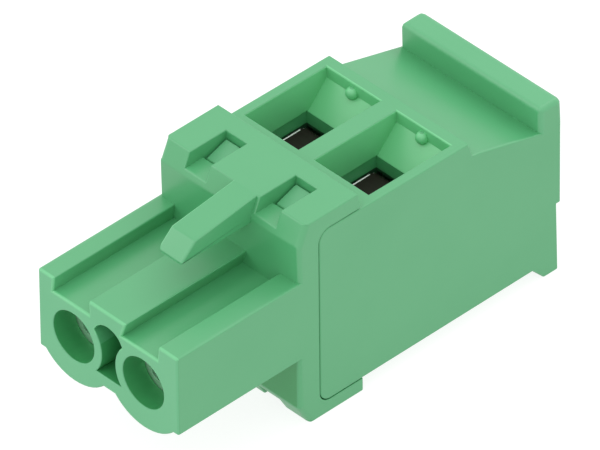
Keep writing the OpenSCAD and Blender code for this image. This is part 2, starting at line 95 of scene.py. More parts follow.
# Places on the rear housing: the first three count X from the nearer pole's middle plane

FUNNEL = ((-1.98, 1.98), (0.3, 6.2), (9.72, 11.85))
CHAMBER = ((-2.1, 2.1), (-3.0, 8.0), (2.0, math.inf))
HOOK = ((-0.8, 0.8), (-3.5, -1.5), (11.5, 12.9))
LIP = (ANY, (11.85, math.inf), (9.6, math.inf))
LIP_EDGES = (ANY, (11.8, math.inf), (9.5, math.inf))
HOOD_SIDES = (ANY, (12.3, math.inf), (-math.inf, 10.6))

# Tolerances, widths of faces and depth of surface patterns, in millimetres

ON_PLANE = 0.0001
TOUCHING = 0.0005
NEAR = 0.01
BROAD_TO_ROUND = 0.6
BROAD_TO_SHADE = 0.55
SURFACE_DEPTH = 0.004

# Angles between faces, in degrees

COPLANAR = 0.6
SHARP_EDGE = 30
BLUNT_EDGE = 12
SHADED_AS_FLAT = 2
SHADED_AS_ROUND = 40


# Colours and materials


def linear(colour):
    """One sRGB hex colour, such as "#7cc494", as linear RGBA."""
    def channel(text):
        value = int(text, 16) / 255
        return value / 12.92 if value <= 0.04045 else ((value + 0.055) / 1.055) ** 2.4
    return tuple(channel(colour[i:i + 2]) for i in (1, 3, 5)) + (1.0,)


def add(tree, kind, inputs=None, **settings):
    """Adds one shader node: settings are its properties, inputs its sockets' values or links."""
    node = tree.nodes.new(kind)
    for name, value in settings.items():
        setattr(node, name, value)
    for key, value in (inputs or {}).items():
        socket = node.inputs[key]
        if isinstance(value, bpy.types.NodeSocket):
            tree.links.new(value, socket)
        else:
            socket.default_value = value
    return node


def new_material(name):
    """An empty node material and its node tree."""
    material = bpy.data.materials.new(name)
    material.use_nodes = True
    material.node_tree.nodes.clear()
    return material, material.node_tree


def moulded_polyamide(name, settings, pale, deep, roughness):
    """Moulded polyamide 66: to the eye a satin, slightly milky green with a fine grain."""
    material, tree = new_material(name)
    place = add(tree, "ShaderNodeTexCoord").outputs["Object"]
    # slow drift of the pigment over a few millimetres, as melt flow leaves it
    flow = add(tree, "ShaderNodeTexNoise", {
        "Vector": place, "Scale": 1 / (settings.flow_size * MM), "Detail": 2.0, "Roughness": 0.5})
    tone = add(tree, "ShaderNodeMix", {
        "Factor": flow.outputs["Fac"],
        "A": linear(pale), "B": linear(deep)}, data_type="RGBA")
    # grain of the spark-eroded mould: really about 0.03 mm, drawn at 0.09 mm so that it shows
    grain = add(tree, "ShaderNodeTexNoise", {
        "Vector": place, "Scale": 1 / (settings.grain_size * MM), "Detail": 3.0, "Roughness": 0.6})
    bump = add(tree, "ShaderNodeBump", {
        "Height": grain.outputs["Fac"], "Strength": settings.grain_depth,
        "Distance": SURFACE_DEPTH * MM})
    drift = 0.04
    gloss = add(tree, "ShaderNodeMapRange", {
        "Value": flow.outputs["Fac"], "From Min": 0.3, "From Max": 0.7,
        "To Min": roughness - drift, "To Max": roughness + drift})
    surface = add(tree, "ShaderNodeBsdfPrincipled", {
        "Base Color": tone.outputs["Result"], "Roughness": gloss.outputs["Result"],
        "Normal": bump.outputs["Normal"], "IOR": 1.53,
        "Specular IOR Level": settings.shine})
    add(tree, "ShaderNodeOutputMaterial", {"Surface": surface.outputs["BSDF"]})
    return material


def housing_plastics(side, settings, places):
    """The plastics of one housing by name: outside, edges, and those of its other places.

    The plastic lets some light through. That light is painted into the tones rather than rendered:
    paler tones on the funnels' thin walls, the lip, the nose face and the hooks are painted light,
    darker tones in the holes and chambers are painted shade, and paler rounded edges are painted
    highlights."""
    name = "Moulded green polyamide, " + side
    satin = settings.roughness
    matt = satin + 0.1
    plastics = {
        "outside": moulded_polyamide(name, settings, settings.pale, settings.deep, satin),
        # the edges' paler tone is a painted highlight
        "edges": moulded_polyamide(
            name + ", edges", settings, settings.edge_painted_highlight_pale, settings.edge_painted_highlight_deep, satin)}
    for place, (pale, deep) in places.items():
        plastics[place] = moulded_polyamide(name + ", " + place, settings, pale, deep, matt)
    return plastics


def tinned_copper(name, settings):
    """Matt tin plating on rolled copper strip: to the eye a pale metal with soft streaks along
    Y, tinted by the green light that comes through the housing."""
    material, tree = new_material(name)
    place = add(tree, "ShaderNodeTexCoord").outputs["Object"]
    stretched = add(tree, "ShaderNodeMapping", {"Vector": place, "Scale": (1.0, 0.08, 1.0)})
    # rolling streaks: really about 0.02 mm wide, drawn at 0.12 mm so that they show
    streaks = add(tree, "ShaderNodeTexNoise", {
        "Vector": stretched.outputs["Vector"], "Scale": 1 / (0.12 * MM), "Detail": 3.0})
    gloss = add(tree, "ShaderNodeMapRange", {
        "Value": streaks.outputs["Fac"], "To Min": 0.5, "To Max": 0.7})
    bump = add(tree, "ShaderNodeBump", {
        "Height": streaks.outputs["Fac"], "Strength": 0.25, "Distance": SURFACE_DEPTH * MM})
    surface = add(tree, "ShaderNodeBsdfPrincipled", {
        "Base Color": linear(settings.tin), "Metallic": 1.0,
        "Roughness": gloss.outputs["Result"], "Normal": bump.outputs["Normal"]})
    add(tree, "ShaderNodeOutputMaterial", {"Surface": surface.outputs["BSDF"]})
    return material


def tempered_steel(name, settings):
    """Cold-rolled, tempered spring strip: to the eye brown-black with fine streaks along X."""
    material, tree = new_material(name)
    place = add(tree, "ShaderNodeTexCoord").outputs["Object"]
    stretched = add(tree, "ShaderNodeMapping", {"Vector": place, "Scale": (0.06, 1.0, 1.0)})
    # rolling streaks: really about 0.01 mm wide, drawn at 0.1 mm so that they show
    streaks = add(tree, "ShaderNodeTexNoise", {
        "Vector": stretched.outputs["Vector"], "Scale": 1 / (0.1 * MM), "Detail": 4.0})
    tone = add(tree, "ShaderNodeMix", {
        "Factor": streaks.outputs["Fac"],
        "A": linear(settings.strip), "B": linear(settings.strip_dark)}, data_type="RGBA")
    gloss = add(tree, "ShaderNodeMapRange", {
        "Value": streaks.outputs["Fac"], "To Min": 0.38, "To Max": 0.52})
    bump = add(tree, "ShaderNodeBump", {
        "Height": streaks.outputs["Fac"], "Strength": 0.3, "Distance": SURFACE_DEPTH * MM})
    # dark, not metallic, with a low shine like a dark enamel
    surface = add(tree, "ShaderNodeBsdfPrincipled", {
        "Base Color": tone.outputs["Result"], "Roughness": gloss.outputs["Result"],
        "Normal": bump.outputs["Normal"], "Specular IOR Level": 0.3})
    add(tree, "ShaderNodeOutputMaterial", {"Surface": surface.outputs["BSDF"]})
    return material


def sheared_steel(name, settings):
    """Sheared edge of the spring strip: to the eye bare, bright steel with a broken grain."""
    material, tree = new_material(name)
    place = add(tree, "ShaderNodeTexCoord").outputs["Object"]
    # shear marks: really about 0.02 mm apart, drawn at 0.06 mm so that they show
    marks = add(tree, "ShaderNodeTexNoise", {
        "Vector": place, "Scale": 1 / (0.06 * MM), "Detail": 2.0})
    gloss = add(tree, "ShaderNodeMapRange", {
        "Value": marks.outputs["Fac"], "To Min": 0.55, "To Max": 0.8})
    surface = add(tree, "ShaderNodeBsdfPrincipled", {
        "Base Color": linear(settings.sheared), "Metallic": 1.0,
        "Roughness": gloss.outputs["Result"]})
    add(tree, "ShaderNodeOutputMaterial", {"Surface": surface.outputs["BSDF"]})
    return material


# Sizes and colours that a user would change


class HousingSettings(bpy.types.PropertyGroup):
    """Roundings, colours and surface of the two housings"""
    edge: bpy.props.FloatProperty(
        name="Edge radius", description="Rounding of the moulded edges, in millimetres",
        default=0.09, min=0.02, max=0.2)
    nose_edge: bpy.props.FloatProperty(
        name="Nose edge radius", description="Rounding round the nose face, in millimetres",
        default=0.13, min=0.02, max=0.3)
    hole_edge: bpy.props.FloatProperty(
        name="Hole edge radius", description="Rounding of the pin holes' and the pocket's rims, "
        "in millimetres", default=0.06, min=0.02, max=0.15)
    shoulder_edge: bpy.props.FloatProperty(
        name="Shoulder edge radius",
        description="Rounding of the shoulder's two upright edges, in millimetres",
        default=0.33, min=0.05, max=0.5)
    lip_edge: bpy.props.FloatProperty(
        name="Lip edge radius", description="Rounding of the lip's long edges, in millimetres",
        default=0.28, min=0.02, max=0.35)
    lip_end: bpy.props.FloatProperty(
        name="Lip end radius", description="Rounding of the lip's ends, in millimetres",
        default=0.33, min=0.02, max=0.35)
    seam_edge: bpy.props.FloatProperty(
        name="Seam edge radius",
        description="Rounding of the edges where the two housings meet, in millimetres",
        default=0.04, min=0.01, max=0.1)
    widest: bpy.props.FloatProperty(
        name="Widest edge", description="Upper limit of all roundings, in millimetres",
        default=0.35, min=0.1, max=0.5)
    segments: bpy.props.IntProperty(
        name="Edge segments", description="Faces across a rounded edge", default=3, min=1, max=4)
    pale: bpy.props.StringProperty(
        name="Pale green", description="Lighter end of the plastic's colour", default="#55ad74")
    deep: bpy.props.StringProperty(
        name="Deep green", description="Deeper end of the plastic's colour", default="#50a870")
    # painted light: the nose face and the hooks are drawn paler, for more light falling on them
    face_painted_light_pale: bpy.props.StringProperty(
        name="Faces, pale", description="Lighter tone of the nose face and the hooks",
        default="#61b681")
    face_painted_light_deep: bpy.props.StringProperty(
        name="Faces, deep", description="Deeper tone of the nose face and the hooks",
        default="#5cb27c")
    # painted light: the funnels' walls are drawn paler than the outside, for the light that comes
    # through them and falls into the funnels
    funnel_painted_light_pale: bpy.props.StringProperty(
        name="Funnels, pale", description="Lighter tone of the funnels' thin walls",
        default="#6ecb8c")
    funnel_painted_light_deep: bpy.props.StringProperty(
        name="Funnels, deep", description="Deeper tone of the funnels' thin walls",
        default="#6ac788")
    # painted light: the lip's front and top are drawn paler, for the light that comes through it and
    # falls on it
    lip_painted_light_pale: bpy.props.StringProperty(
        name="Lip, pale", description="Lighter tone of the lip", default="#5ab17a")
    lip_painted_light_deep: bpy.props.StringProperty(
        name="Lip, deep", description="Deeper tone of the lip", default="#55ac75")
    # painted shade: the pin holes and the pocket's low walls are drawn darker for the shade in them
    hole_painted_shade_pale: bpy.props.StringProperty(
        name="Holes, pale", description="Lighter tone in the pin holes and the pocket",
        default="#3d9e5c")
    hole_painted_shade_deep: bpy.props.StringProperty(
        name="Holes, deep", description="Deeper tone in the pin holes and the pocket",
        default="#389857")
    # painted shade: the closed clamp chambers are drawn dark for the shade inside them
    chamber_painted_shade_pale: bpy.props.StringProperty(
        name="Chambers, pale", description="Lighter tone in the closed clamp chambers",
        default="#1f4a2e")
    chamber_painted_shade_deep: bpy.props.StringProperty(
        name="Chambers, deep", description="Deeper tone in the closed clamp chambers",
        default="#1a4228")
    # painted highlight: the rounded edges are drawn paler for the light that they catch
    edge_painted_highlight_pale: bpy.props.StringProperty(
        name="Edges, pale", description="Lighter tone of the rounded edges", default="#6ac589")
    edge_painted_highlight_deep: bpy.props.StringProperty(
        name="Edges, deep", description="Deeper tone of the rounded edges", default="#66c185")
    roughness: bpy.props.FloatProperty(
        name="Roughness", description="Mean roughness of the satin surface",
        default=0.34, min=0.2, max=0.8, subtype="FACTOR")
    shine: bpy.props.FloatProperty(
        name="Shine", description="Specular level of the plastic",
        default=0.8, min=0.0, max=1.0, subtype="FACTOR")
    # height under which the chambers' painted shade is drawn
    painted_shade_below: bpy.props.FloatProperty(
        name="Dark below", description="Height under which the clamp chambers are dark, "
        "in millimetres", default=8.95, min=8.0, max=9.6)
    flow_size: bpy.props.FloatProperty(
        name="Flow size", description="Width of the slow colour drift, in millimetres",
        default=4.0, min=1.0, max=10.0)
    grain_size: bpy.props.FloatProperty(
        name="Grain size", description="Width of the mould's grain, in millimetres",
        default=0.09, min=0.02, max=0.4)
    grain_depth: bpy.props.FloatProperty(
        name="Grain depth", description="Strength of the mould's grain",
        default=0.12, min=0.0, max=1.0, subtype="FACTOR")


class MetalSettings(bpy.types.PropertyGroup):
    """Colours, edges and sizes of the contacts and the cage springs"""
    tin: bpy.props.StringProperty(
        name="Tin", description="Colour of the tin plating in the housing's green light",
        default="#cbf2da")
    strip: bpy.props.StringProperty(
        name="Spring strip", description="Colour of the spring's rolled faces", default="#2c2521")
    strip_dark: bpy.props.StringProperty(
        name="Spring strip, dark", description="Darker streaks of the rolled faces",
        default="#1f1a17")
    sheared: bpy.props.StringProperty(
        name="Sheared edge", description="Colour of the spring's bright cut edges",
        default="#ffffff")
    spring_edge: bpy.props.FloatProperty(
        name="Spring edge radius", description="Rounding of the spring's edges, in millimetres",
        default=0.06, min=0.01, max=0.1)
    contact_edge: bpy.props.FloatProperty(
        name="Contact edge radius", description="Rounding of the contacts' edges, in millimetres",
        default=0.04, min=0.01, max=0.1)
    burr_width: bpy.props.FloatProperty(
        name="Burr width", description="Width of the bright burr along the spring's upper leg, "
        "in millimetres", default=0.055, min=0.02, max=0.15)
    burr_height: bpy.props.FloatProperty(
        name="Burr height", description="Height of that burr, in millimetres",
        default=0.03, min=0.01, max=0.08)
    burr_start: bpy.props.FloatProperty(
        name="Burr start", description="From the loop's middle to the burr, in millimetres",
        default=0.3, min=0.1, max=1.0)
    burr_short: bpy.props.FloatProperty(
        name="Burr end", description="From the burr's end to the lower leg's tip, in millimetres",
        default=1.4, min=1.3, max=2.0)
    tail_width: bpy.props.FloatProperty(
        name="Tail width", description="Width of the lower leg where it runs through the tab's "
        "slot, in millimetres", default=2.1, min=1.0, max=2.3)
    tail_reach: bpy.props.FloatProperty(
        name="Tail reach", description="How far the lower leg reaches past the tab, in "
        "millimetres", default=0.85, min=0.5, max=1.2)
    strip_thickness: bpy.props.FloatProperty(
        name="Strip thickness", description="Thickness of the spring strip, in millimetres",
        default=0.3, min=0.2, max=0.4)


class StageSettings(bpy.types.PropertyGroup):
    """The camera, the table and the light"""
    azimuth: bpy.props.FloatProperty(
        name="Azimuth", description="Camera's turn about the upright axis",
        default=math.radians(46.44), subtype="ANGLE")
    elevation: bpy.props.FloatProperty(
        name="Elevation", description="Camera's height angle",
        default=math.radians(39.09), subtype="ANGLE")
    roll: bpy.props.FloatProperty(
        name="Roll", description="Camera's roll", default=math.radians(-0.575), subtype="ANGLE")
    lens: bpy.props.FloatProperty(
        name="Lens", description="Focal length, in millimetres", default=850.0, min=50.0)
    distance: bpy.props.FloatProperty(
        name="Distance", description="From the camera to the point that it is aimed at",
        default=0.71654, min=0.1, subtype="DISTANCE", unit="LENGTH")
    aim: bpy.props.FloatVectorProperty(
        name="Aim", description="The point that the camera is aimed at, in millimetres",
        default=(0.07048, -0.19857, 7.64282), subtype="XYZ")
    floor: bpy.props.StringProperty(
        name="Floor", description="Colour of the floor", default="#ffffff")
    table_light: bpy.props.FloatProperty(
        name="Table light", description="Light that the white table gives back", default=0.62,
        min=0.0)
    table_seen: bpy.props.FloatProperty(
        name="Table seen", description="How bright the camera sees the table's own light",
        default=0.86, min=0.0)
    table_grey: bpy.props.FloatProperty(
        name="Table grey", description="Grey of the table's surface, which shows the shadow",
        default=0.25, min=0.0, max=1.0, subtype="FACTOR")
    room_light: bpy.props.FloatProperty(
        name="Room light", description="Even light of the white tent", default=1.02, min=0.0)
    back_lamp: bpy.props.FloatProperty(
        name="Back lamp", description="Power of the soft lamp behind", default=0.2,
        min=0.0, unit="POWER")
    front_lamp: bpy.props.FloatProperty(
        name="Front lamp", description="Power of the soft lamp in front, on the left",
        default=0.14, min=0.0, unit="POWER")
    high_lamp: bpy.props.FloatProperty(
        name="High lamp", description="Power of the soft lamp above, a little to the front",
        default=0.13, min=0.0, unit="POWER")


# Shapes


def inside(point, place):
    """Whether a point is within a place's bounds of X, Y and Z."""
    return all(low < value < high for value, (low, high) in zip(point, place))


def off_pin(point):
    """How far a point is from the axis of the nearer pin hole."""
    return math.hypot(abs(point.x) - POLE_X, point.z - PIN_Z)


def merged_copy(node):
    """A bmesh of a CAD node with its loose triangles merged and its flat faces made whole."""
    bm = bmesh.new()
    bm.from_mesh(frame["nodes"][node].data)
    bmesh.ops.remove_doubles(bm, verts=bm.verts[:], dist=TOUCHING * MM)
    bmesh.ops.dissolve_limit(
        bm, angle_limit=math.radians(COPLANAR), use_dissolve_boundaries=False,
        verts=bm.verts[:], edges=bm.edges[:], delimit=set())
    return bm


def face_width(edge, face):
    """How far a face reaches from one of its edges, in millimetres."""
    along = (edge.verts[1].co - edge.verts[0].co).normalized()
    steps = [v.co - edge.verts[0].co for v in face.verts]
    return max((step - along * step.dot(along)).length for step in steps) / MM


def weigh_edges(bm, width_at, widest):
    """Gives each edge that stands out its width, as a share of the widest rounding.

    Facets of a round face are narrow and meet at a small angle, so they get none."""
    weight = bm.edges.layers.float.new("bevel_weight_edge")
    for edge in bm.edges:
        if not edge.is_manifold or not edge.is_convex:
            continue
        angle = math.degrees(edge.calc_face_angle(0.0))
        broad = min(face_width(edge, face) for face in edge.link_faces) > BROAD_TO_ROUND
        if angle > SHARP_EDGE or (broad and angle > BLUNT_EDGE):
            middle = (edge.verts[0].co + edge.verts[1].co) / (2 * MM)
            edge[weight] = min(width_at(middle, edge), widest) / widest


def bevelled(bm, name, widest, segments, materials, edge_material):
    """A mesh of the solid with its materials and with its weighted edges rounded."""
    mesh = bpy.data.meshes.new(name)
    bm.to_mesh(mesh)
    bm.free()
    for material in materials:
        mesh.materials.append(material)
    rough = bpy.data.objects.new(name + "_rough", mesh)
    bpy.context.scene.collection.objects.link(rough)
    rounding = rough.modifiers.new("Rounded edges", "BEVEL")
    rounding.limit_method = "WEIGHT"
    rounding.width = widest * MM
    rounding.segments = segments
    rounding.use_clamp_overlap = False
    rounding.material = edge_material
    graph = bpy.context.evaluated_depsgraph_get()
    done = bpy.data.meshes.new_from_object(rough.evaluated_get(graph))
    bpy.data.objects.remove(rough)
    bpy.data.meshes.remove(mesh)
    done.name = name
    return done


def shade(mesh):
    """Corner normals: broad faces stay flat, and roundings run smoothly from one to the next."""
    bm = bmesh.new()
    bm.from_mesh(mesh)
    bmesh.ops.dissolve_degenerate(bm, dist=2 * TOUCHING * MM, edges=bm.edges[:])
    bmesh.ops.recalc_face_normals(bm, faces=bm.faces[:])
    bm.faces.index_update()
    area = [face.calc_area() for face in bm.faces]
    breadth = [area[face.index] / max(e.calc_length() for e in face.edges) for face in bm.faces]
    normals = []
    for face in bm.faces:
        face.smooth = True
        for corner in face.loops:
            total = Vector()
            for other in corner.vert.link_faces:
                flat = min(breadth[face.index], breadth[other.index]) > BROAD_TO_SHADE * MM
                same = math.radians(SHADED_AS_FLAT if flat else SHADED_AS_ROUND)
                if other.normal.angle(face.normal, 0.0) < same:
                    total += other.normal * area[other.index] ** 2
            normals.append(total.normalized() if total.length else face.normal.copy())
    bm.to_mesh(mesh)
    bm.free()
    mesh.normals_split_custom_set(normals)


def finish_piece(mesh, name):
    """Puts the mesh into the scene."""
    piece = bpy.data.objects.new(name, mesh)
    bpy.context.scene.collection.objects.link(piece)
    return piece


def divide(bm, place, across):
    """Parts the faces along a plane and keeps both sides."""
    bmesh.ops.bisect_plane(
        bm, geom=bm.verts[:] + bm.edges[:] + bm.faces[:], dist=ON_PLANE * MM,
        plane_co=place, plane_no=across)


def front_place(middle):
    """The place of the front housing that a point is on, as its plastic is named."""
    # painted light: the nose face gets a paler tone
    if inside(middle, NOSE_FACE):
        return "nose face"
    # painted shade in the pin rooms and on the pocket's low walls
    in_pin_room = inside(middle, PIN_ROOMS) and off_pin(middle) < PIN_ROOM_R
    return "holes" if in_pin_room or inside(middle, POCKET_LOW_WALLS) else "outside"


def rear_place(middle, painted_shade_below):
    """The place of the rear housing that a point is on, as its plastic is named."""
    from_pole = (abs(middle.x) - POLE_X, middle.y, middle.z)
    # painted light on the funnels' walls
    if inside(from_pole, FUNNEL):
        return "funnels"
    # painted shade inside the chambers, below the set height
    if inside(from_pole, CHAMBER) and middle.z < painted_shade_below:
        return "chambers"
    # painted light on the hooks
    return "hooks" if inside(from_pole, HOOK) else "outside"


def housing(node, name, plastics, settings, width_at, face_tone, rounding_tone,
            divide_at=None):
    """A housing with rounded moulded edges, in place of its sharp solid.

    width_at gives an edge's rounding. face_tone and rounding_tone name the plastic of a face
    and of a rounding. divide_at is the height where the plastic changes on a face, if it does."""
    bm = merged_copy(node)
    if divide_at:
        divide(bm, (0.0, 0.0, divide_at * MM), (0.0, 0.0, 1.0))
    weigh_edges(bm, width_at, settings.widest)
    order = list(plastics)
    for face in bm.faces:
        face.material_index = order.index(face_tone(face.calc_center_median() / MM, face.normal))
    edges = order.index("edges")
    mesh = bevelled(bm, name, settings.widest, settings.segments, plastics.values(), edges)
    for polygon in mesh.polygons:
        if polygon.material_index == edges:
            polygon.material_index = order.index(rounding_tone(polygon.center / MM))
    shade(mesh)
    piece = finish_piece(mesh, name)
    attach(piece, PLUG)
    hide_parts(node)


class CONNECTOR_OT_front_housing(bpy.types.Operator):
    """Dresses the front housing: nose, shoulder, plates and latch finger"""
    bl_idname = "connector.front_housing"
    bl_label = "Front housing"

    def execute(self, context):
        settings = context.scene.connector_housing
        plastics = housing_plastics("front", settings, {
            # painted light on the nose face
            "nose face": (settings.face_painted_light_pale, settings.face_painted_light_deep),
            # painted shade in the pin holes and the pocket
            "holes": (settings.hole_painted_shade_pale, settings.hole_painted_shade_deep)})

        def width_at(middle, edge):
            at_side = abs(middle.x) > SIDE_X
            one_end, other_end = (corner.co.x for corner in edge.verts)
            along_side = abs(one_end - other_end) < 10 * NEAR * MM
            if at_side and along_side and inside(middle, SHOULDER_FRONT):
                return settings.shoulder_edge
            if inside(middle, NOSE_FACE):
                at_hole = off_pin(middle) < PIN_RIM_R or inside(middle, POCKET_RIM)
                return settings.hole_edge if at_hole else settings.nose_edge
            # the ring at the rear of a pin guide is too narrow for a rounding
            if abs(middle.y - PIN_GUIDE_END_Y) < 10 * NEAR:
                return 0.0
            at_seam = inside(middle, SEAM_CUT_OUT) or inside(middle, TOP_PLATE_END)
            return settings.seam_edge if at_seam else settings.edge

        def face_tone(middle, normal):
            return front_place(middle)

        # painted highlight on the nose's top edges and the finger's left edge; other roundings take
        # the tone of their place
        def rounding_tone(middle):
            on_nose_top = inside(middle, NOSE_TOP_EDGE) and off_pin(middle) > PIN_WALL_R
            pale = on_nose_top or inside(middle, FINGER_LEFT_EDGE)
            return "edges" if pale else front_place(middle)

        housing("front_housing", "front_shell", plastics, settings,
                width_at, face_tone, rounding_tone)
        return {"FINISHED"}


class CONNECTOR_OT_rear_housing(bpy.types.Operator):
    """Dresses the rear housing: frame, funnels, sloping back, lip and wire side"""
    bl_idname = "connector.rear_housing"
    bl_label = "Rear housing"

    def execute(self, context):
        settings = context.scene.connector_housing
        plastics = housing_plastics("rear", settings, {
            # painted light on the funnels' walls
            "funnels": (settings.funnel_painted_light_pale, settings.funnel_painted_light_deep),
            # painted shade in the chambers
            "chambers": (settings.chamber_painted_shade_pale, settings.chamber_painted_shade_deep),
            # painted light on the hooks
            "hooks": (settings.face_painted_light_pale, settings.face_painted_light_deep),
            # painted light on the lip
            "lip": (settings.lip_painted_light_pale, settings.lip_painted_light_deep)})

        def width_at(middle, edge):
            if inside(middle, LIP_EDGES):
                return settings.lip_end if abs(middle.x) > SIDE_X else settings.lip_edge
            # the side's outline has round corners, so it needs one width all along
            return settings.edge

        def face_tone(middle, normal):
            place = rear_place(middle, settings.painted_shade_below)
            looks_up = normal.z > 0.95
            if place == "funnels" and looks_up:
                return "outside"
            # painted light on the lip's faces that look forward or up
            looks_forward_or_up = normal.y < -0.5 or normal.z > 0.3
            return "lip" if inside(middle, LIP) and looks_forward_or_up else place

        def rounding_tone(middle):
            # painted light on the lip's roundings
            on_lip = inside(middle, LIP) and not inside(middle, HOOD_SIDES)
            return "lip" if on_lip else rear_place(middle, settings.painted_shade_below)

        # the rear housing is divided where the chambers' painted shade begins
        housing("rear_housing", "rear_shell", plastics, settings,
                width_at, face_tone, rounding_tone, settings.painted_shade_below)
        return {"FINISHED"}


class CONNECTOR_OT_contacts(bpy.types.Operator):
    """Rounds the edges of the two stamped contacts and plates them with tin"""
    bl_idname = "connector.contacts"
    bl_label = "Contacts"

    def execute(self, context):
        settings = context.scene.connector_metal
        tin = tinned_copper("Tin-plated copper strip", settings)
        for pole in POLES:
            bm = merged_copy("contact_" + pole)
            weigh_edges(bm, lambda middle, edge: settings.contact_edge, settings.contact_edge)
            name = "contact_strip_" + pole
            mesh = bevelled(bm, name, settings.contact_edge, segments=2, materials=[tin],
                            edge_material=-1)
            shade(mesh)
            piece = finish_piece(mesh, name)
            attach(piece, PLUG)
            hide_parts("contact_" + pole)
        return {"FINISHED"}


class CageSpring:
    """The places of one cage spring at rest, in metres."""

    def __init__(self, node, hinge, settings):
        low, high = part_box(node)
        self.hinge = hinge
        self.half_width = (high.x - low.x) / 2
        self.top = high.z
        self.thickness = settings.strip_thickness * MM
        # the loop is round, so the lower leg's underside is as far below the hinge
        self.floor = 2 * hinge.z - high.z
        self.tab = high.y - settings.tail_reach * MM
        # from here to its tip the lower leg is narrow enough for the tab's slot
        self.tail_start = self.tab - 4 * self.thickness
        self.half_tail = settings.tail_width / 2 * MM
        self.burr_inside = self.half_width - settings.burr_width * MM
        self.burr_ends = (hinge.y + settings.burr_start * MM, high.y - settings.burr_short * MM)

    def keeps(self, middle, upper):
        """Whether a face is one of the upper leg and its tab, or of the loop and lower leg."""
        gap = NEAR / 2 * MM
        off_middle = abs(middle.x - self.hinge.x)
        in_lower_leg = self.floor - gap < middle.z < self.floor + self.thickness + gap
        in_slot = off_middle < self.half_tail + gap
        if not upper:
            before_tail = middle.y < self.tail_start
            return middle.y < self.hinge.y or (in_lower_leg and (before_tail or in_slot))
        if middle.z > self.hinge.z:
            return middle.y > self.hinge.y
        in_tab = self.tab - self.thickness - gap < middle.y < self.tab + gap
        return in_tab and not (in_lower_leg and in_slot)

    def on_burr(self, place, inside_x, gap):
        """Whether a place on the upper face lies further out than inside_x, along the burr."""
        start, end = self.burr_ends
        outside = abs(place.x - self.hinge.x) > inside_x
        return place.z > self.top - NEAR * MM and outside and start - gap < place.y < end + gap


class CONNECTOR_OT_cage_springs(bpy.types.Operator):
    """Finishes the two cage springs: a loop with the lower leg, and an upper leg that rides on the
    clamp's body
    """
    bl_idname = "connector.cage_springs"
    bl_label = "Cage springs"

    def execute(self, context):
        settings = context.scene.connector_metal
        metals = [tempered_steel("Tempered spring steel", settings),
                  sheared_steel("Sheared spring steel", settings)]
        hinges = {joint["child"]: Vector(joint["pos_m"])
                  for joint in frame["record"]["behaviour"]["joints"]}
        for pole in POLES:
            node, body = "clamp_spring_" + pole, "clamp_" + pole
            spring = CageSpring(node, hinges[body], settings)
            loop = self.part(node, "spring_loop_" + pole, spring, False, metals, settings)
            leg = self.part(node, "spring_leg_" + pole, spring, True, metals, settings)
            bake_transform(loop)
            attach(leg, body)
            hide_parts(node)
            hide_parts(node)
        return {"FINISHED"}

    def part(self, node, name, spring, upper, metals, settings):
        """The upper leg with its tab, or the loop with the lower leg that runs through the tab."""
        bm = merged_copy(node)
        hinge = spring.hinge
        for y in (hinge.y, *spring.burr_ends, spring.tab - spring.thickness, spring.tab):
            divide(bm, (0.0, y, 0.0), (0.0, 1.0, 0.0))
        off_middle = spring.burr_inside if upper else spring.half_tail
        for side in (-1, 1):
            divide(bm, (hinge.x + side * off_middle, 0.0, 0.0), (1.0, 0.0, 0.0))
        gone = [face for face in bm.faces if not spring.keeps(face.calc_center_median(), upper)]
        bmesh.ops.delete(bm, geom=gone, context="FACES")
        bmesh.ops.holes_fill(bm, edges=[edge for edge in bm.edges if edge.is_boundary])
        bmesh.ops.recalc_face_normals(bm, faces=bm.faces[:])
        rolled, sheared = 0, 1
        for face in bm.faces:
            burr = spring.on_burr(face.calc_center_median(), spring.burr_inside, 0.0)
            at_side = abs(face.normal.x) > 0.9
            face.material_index = sheared if burr or at_side else rolled
        for corner in bm.verts:
            if spring.on_burr(corner.co, spring.half_width - NEAR * MM, NEAR * MM):
                corner.co.z += settings.burr_height * MM

        def width_at(middle, edge):
            beside_burr = abs(middle.x - hinge.x / MM) > spring.burr_inside / MM - NEAR
            burr = middle.z > spring.top / MM - NEAR and beside_burr
            parting = abs(middle.y - hinge.y / MM) < NEAR
            return 0.0 if burr or parting else settings.spring_edge

        weigh_edges(bm, width_at, settings.spring_edge)
        mesh = bevelled(bm, name, settings.spring_edge, segments=3, materials=metals,
                        edge_material=sheared)
        shade(mesh)
        return finish_piece(mesh, name)


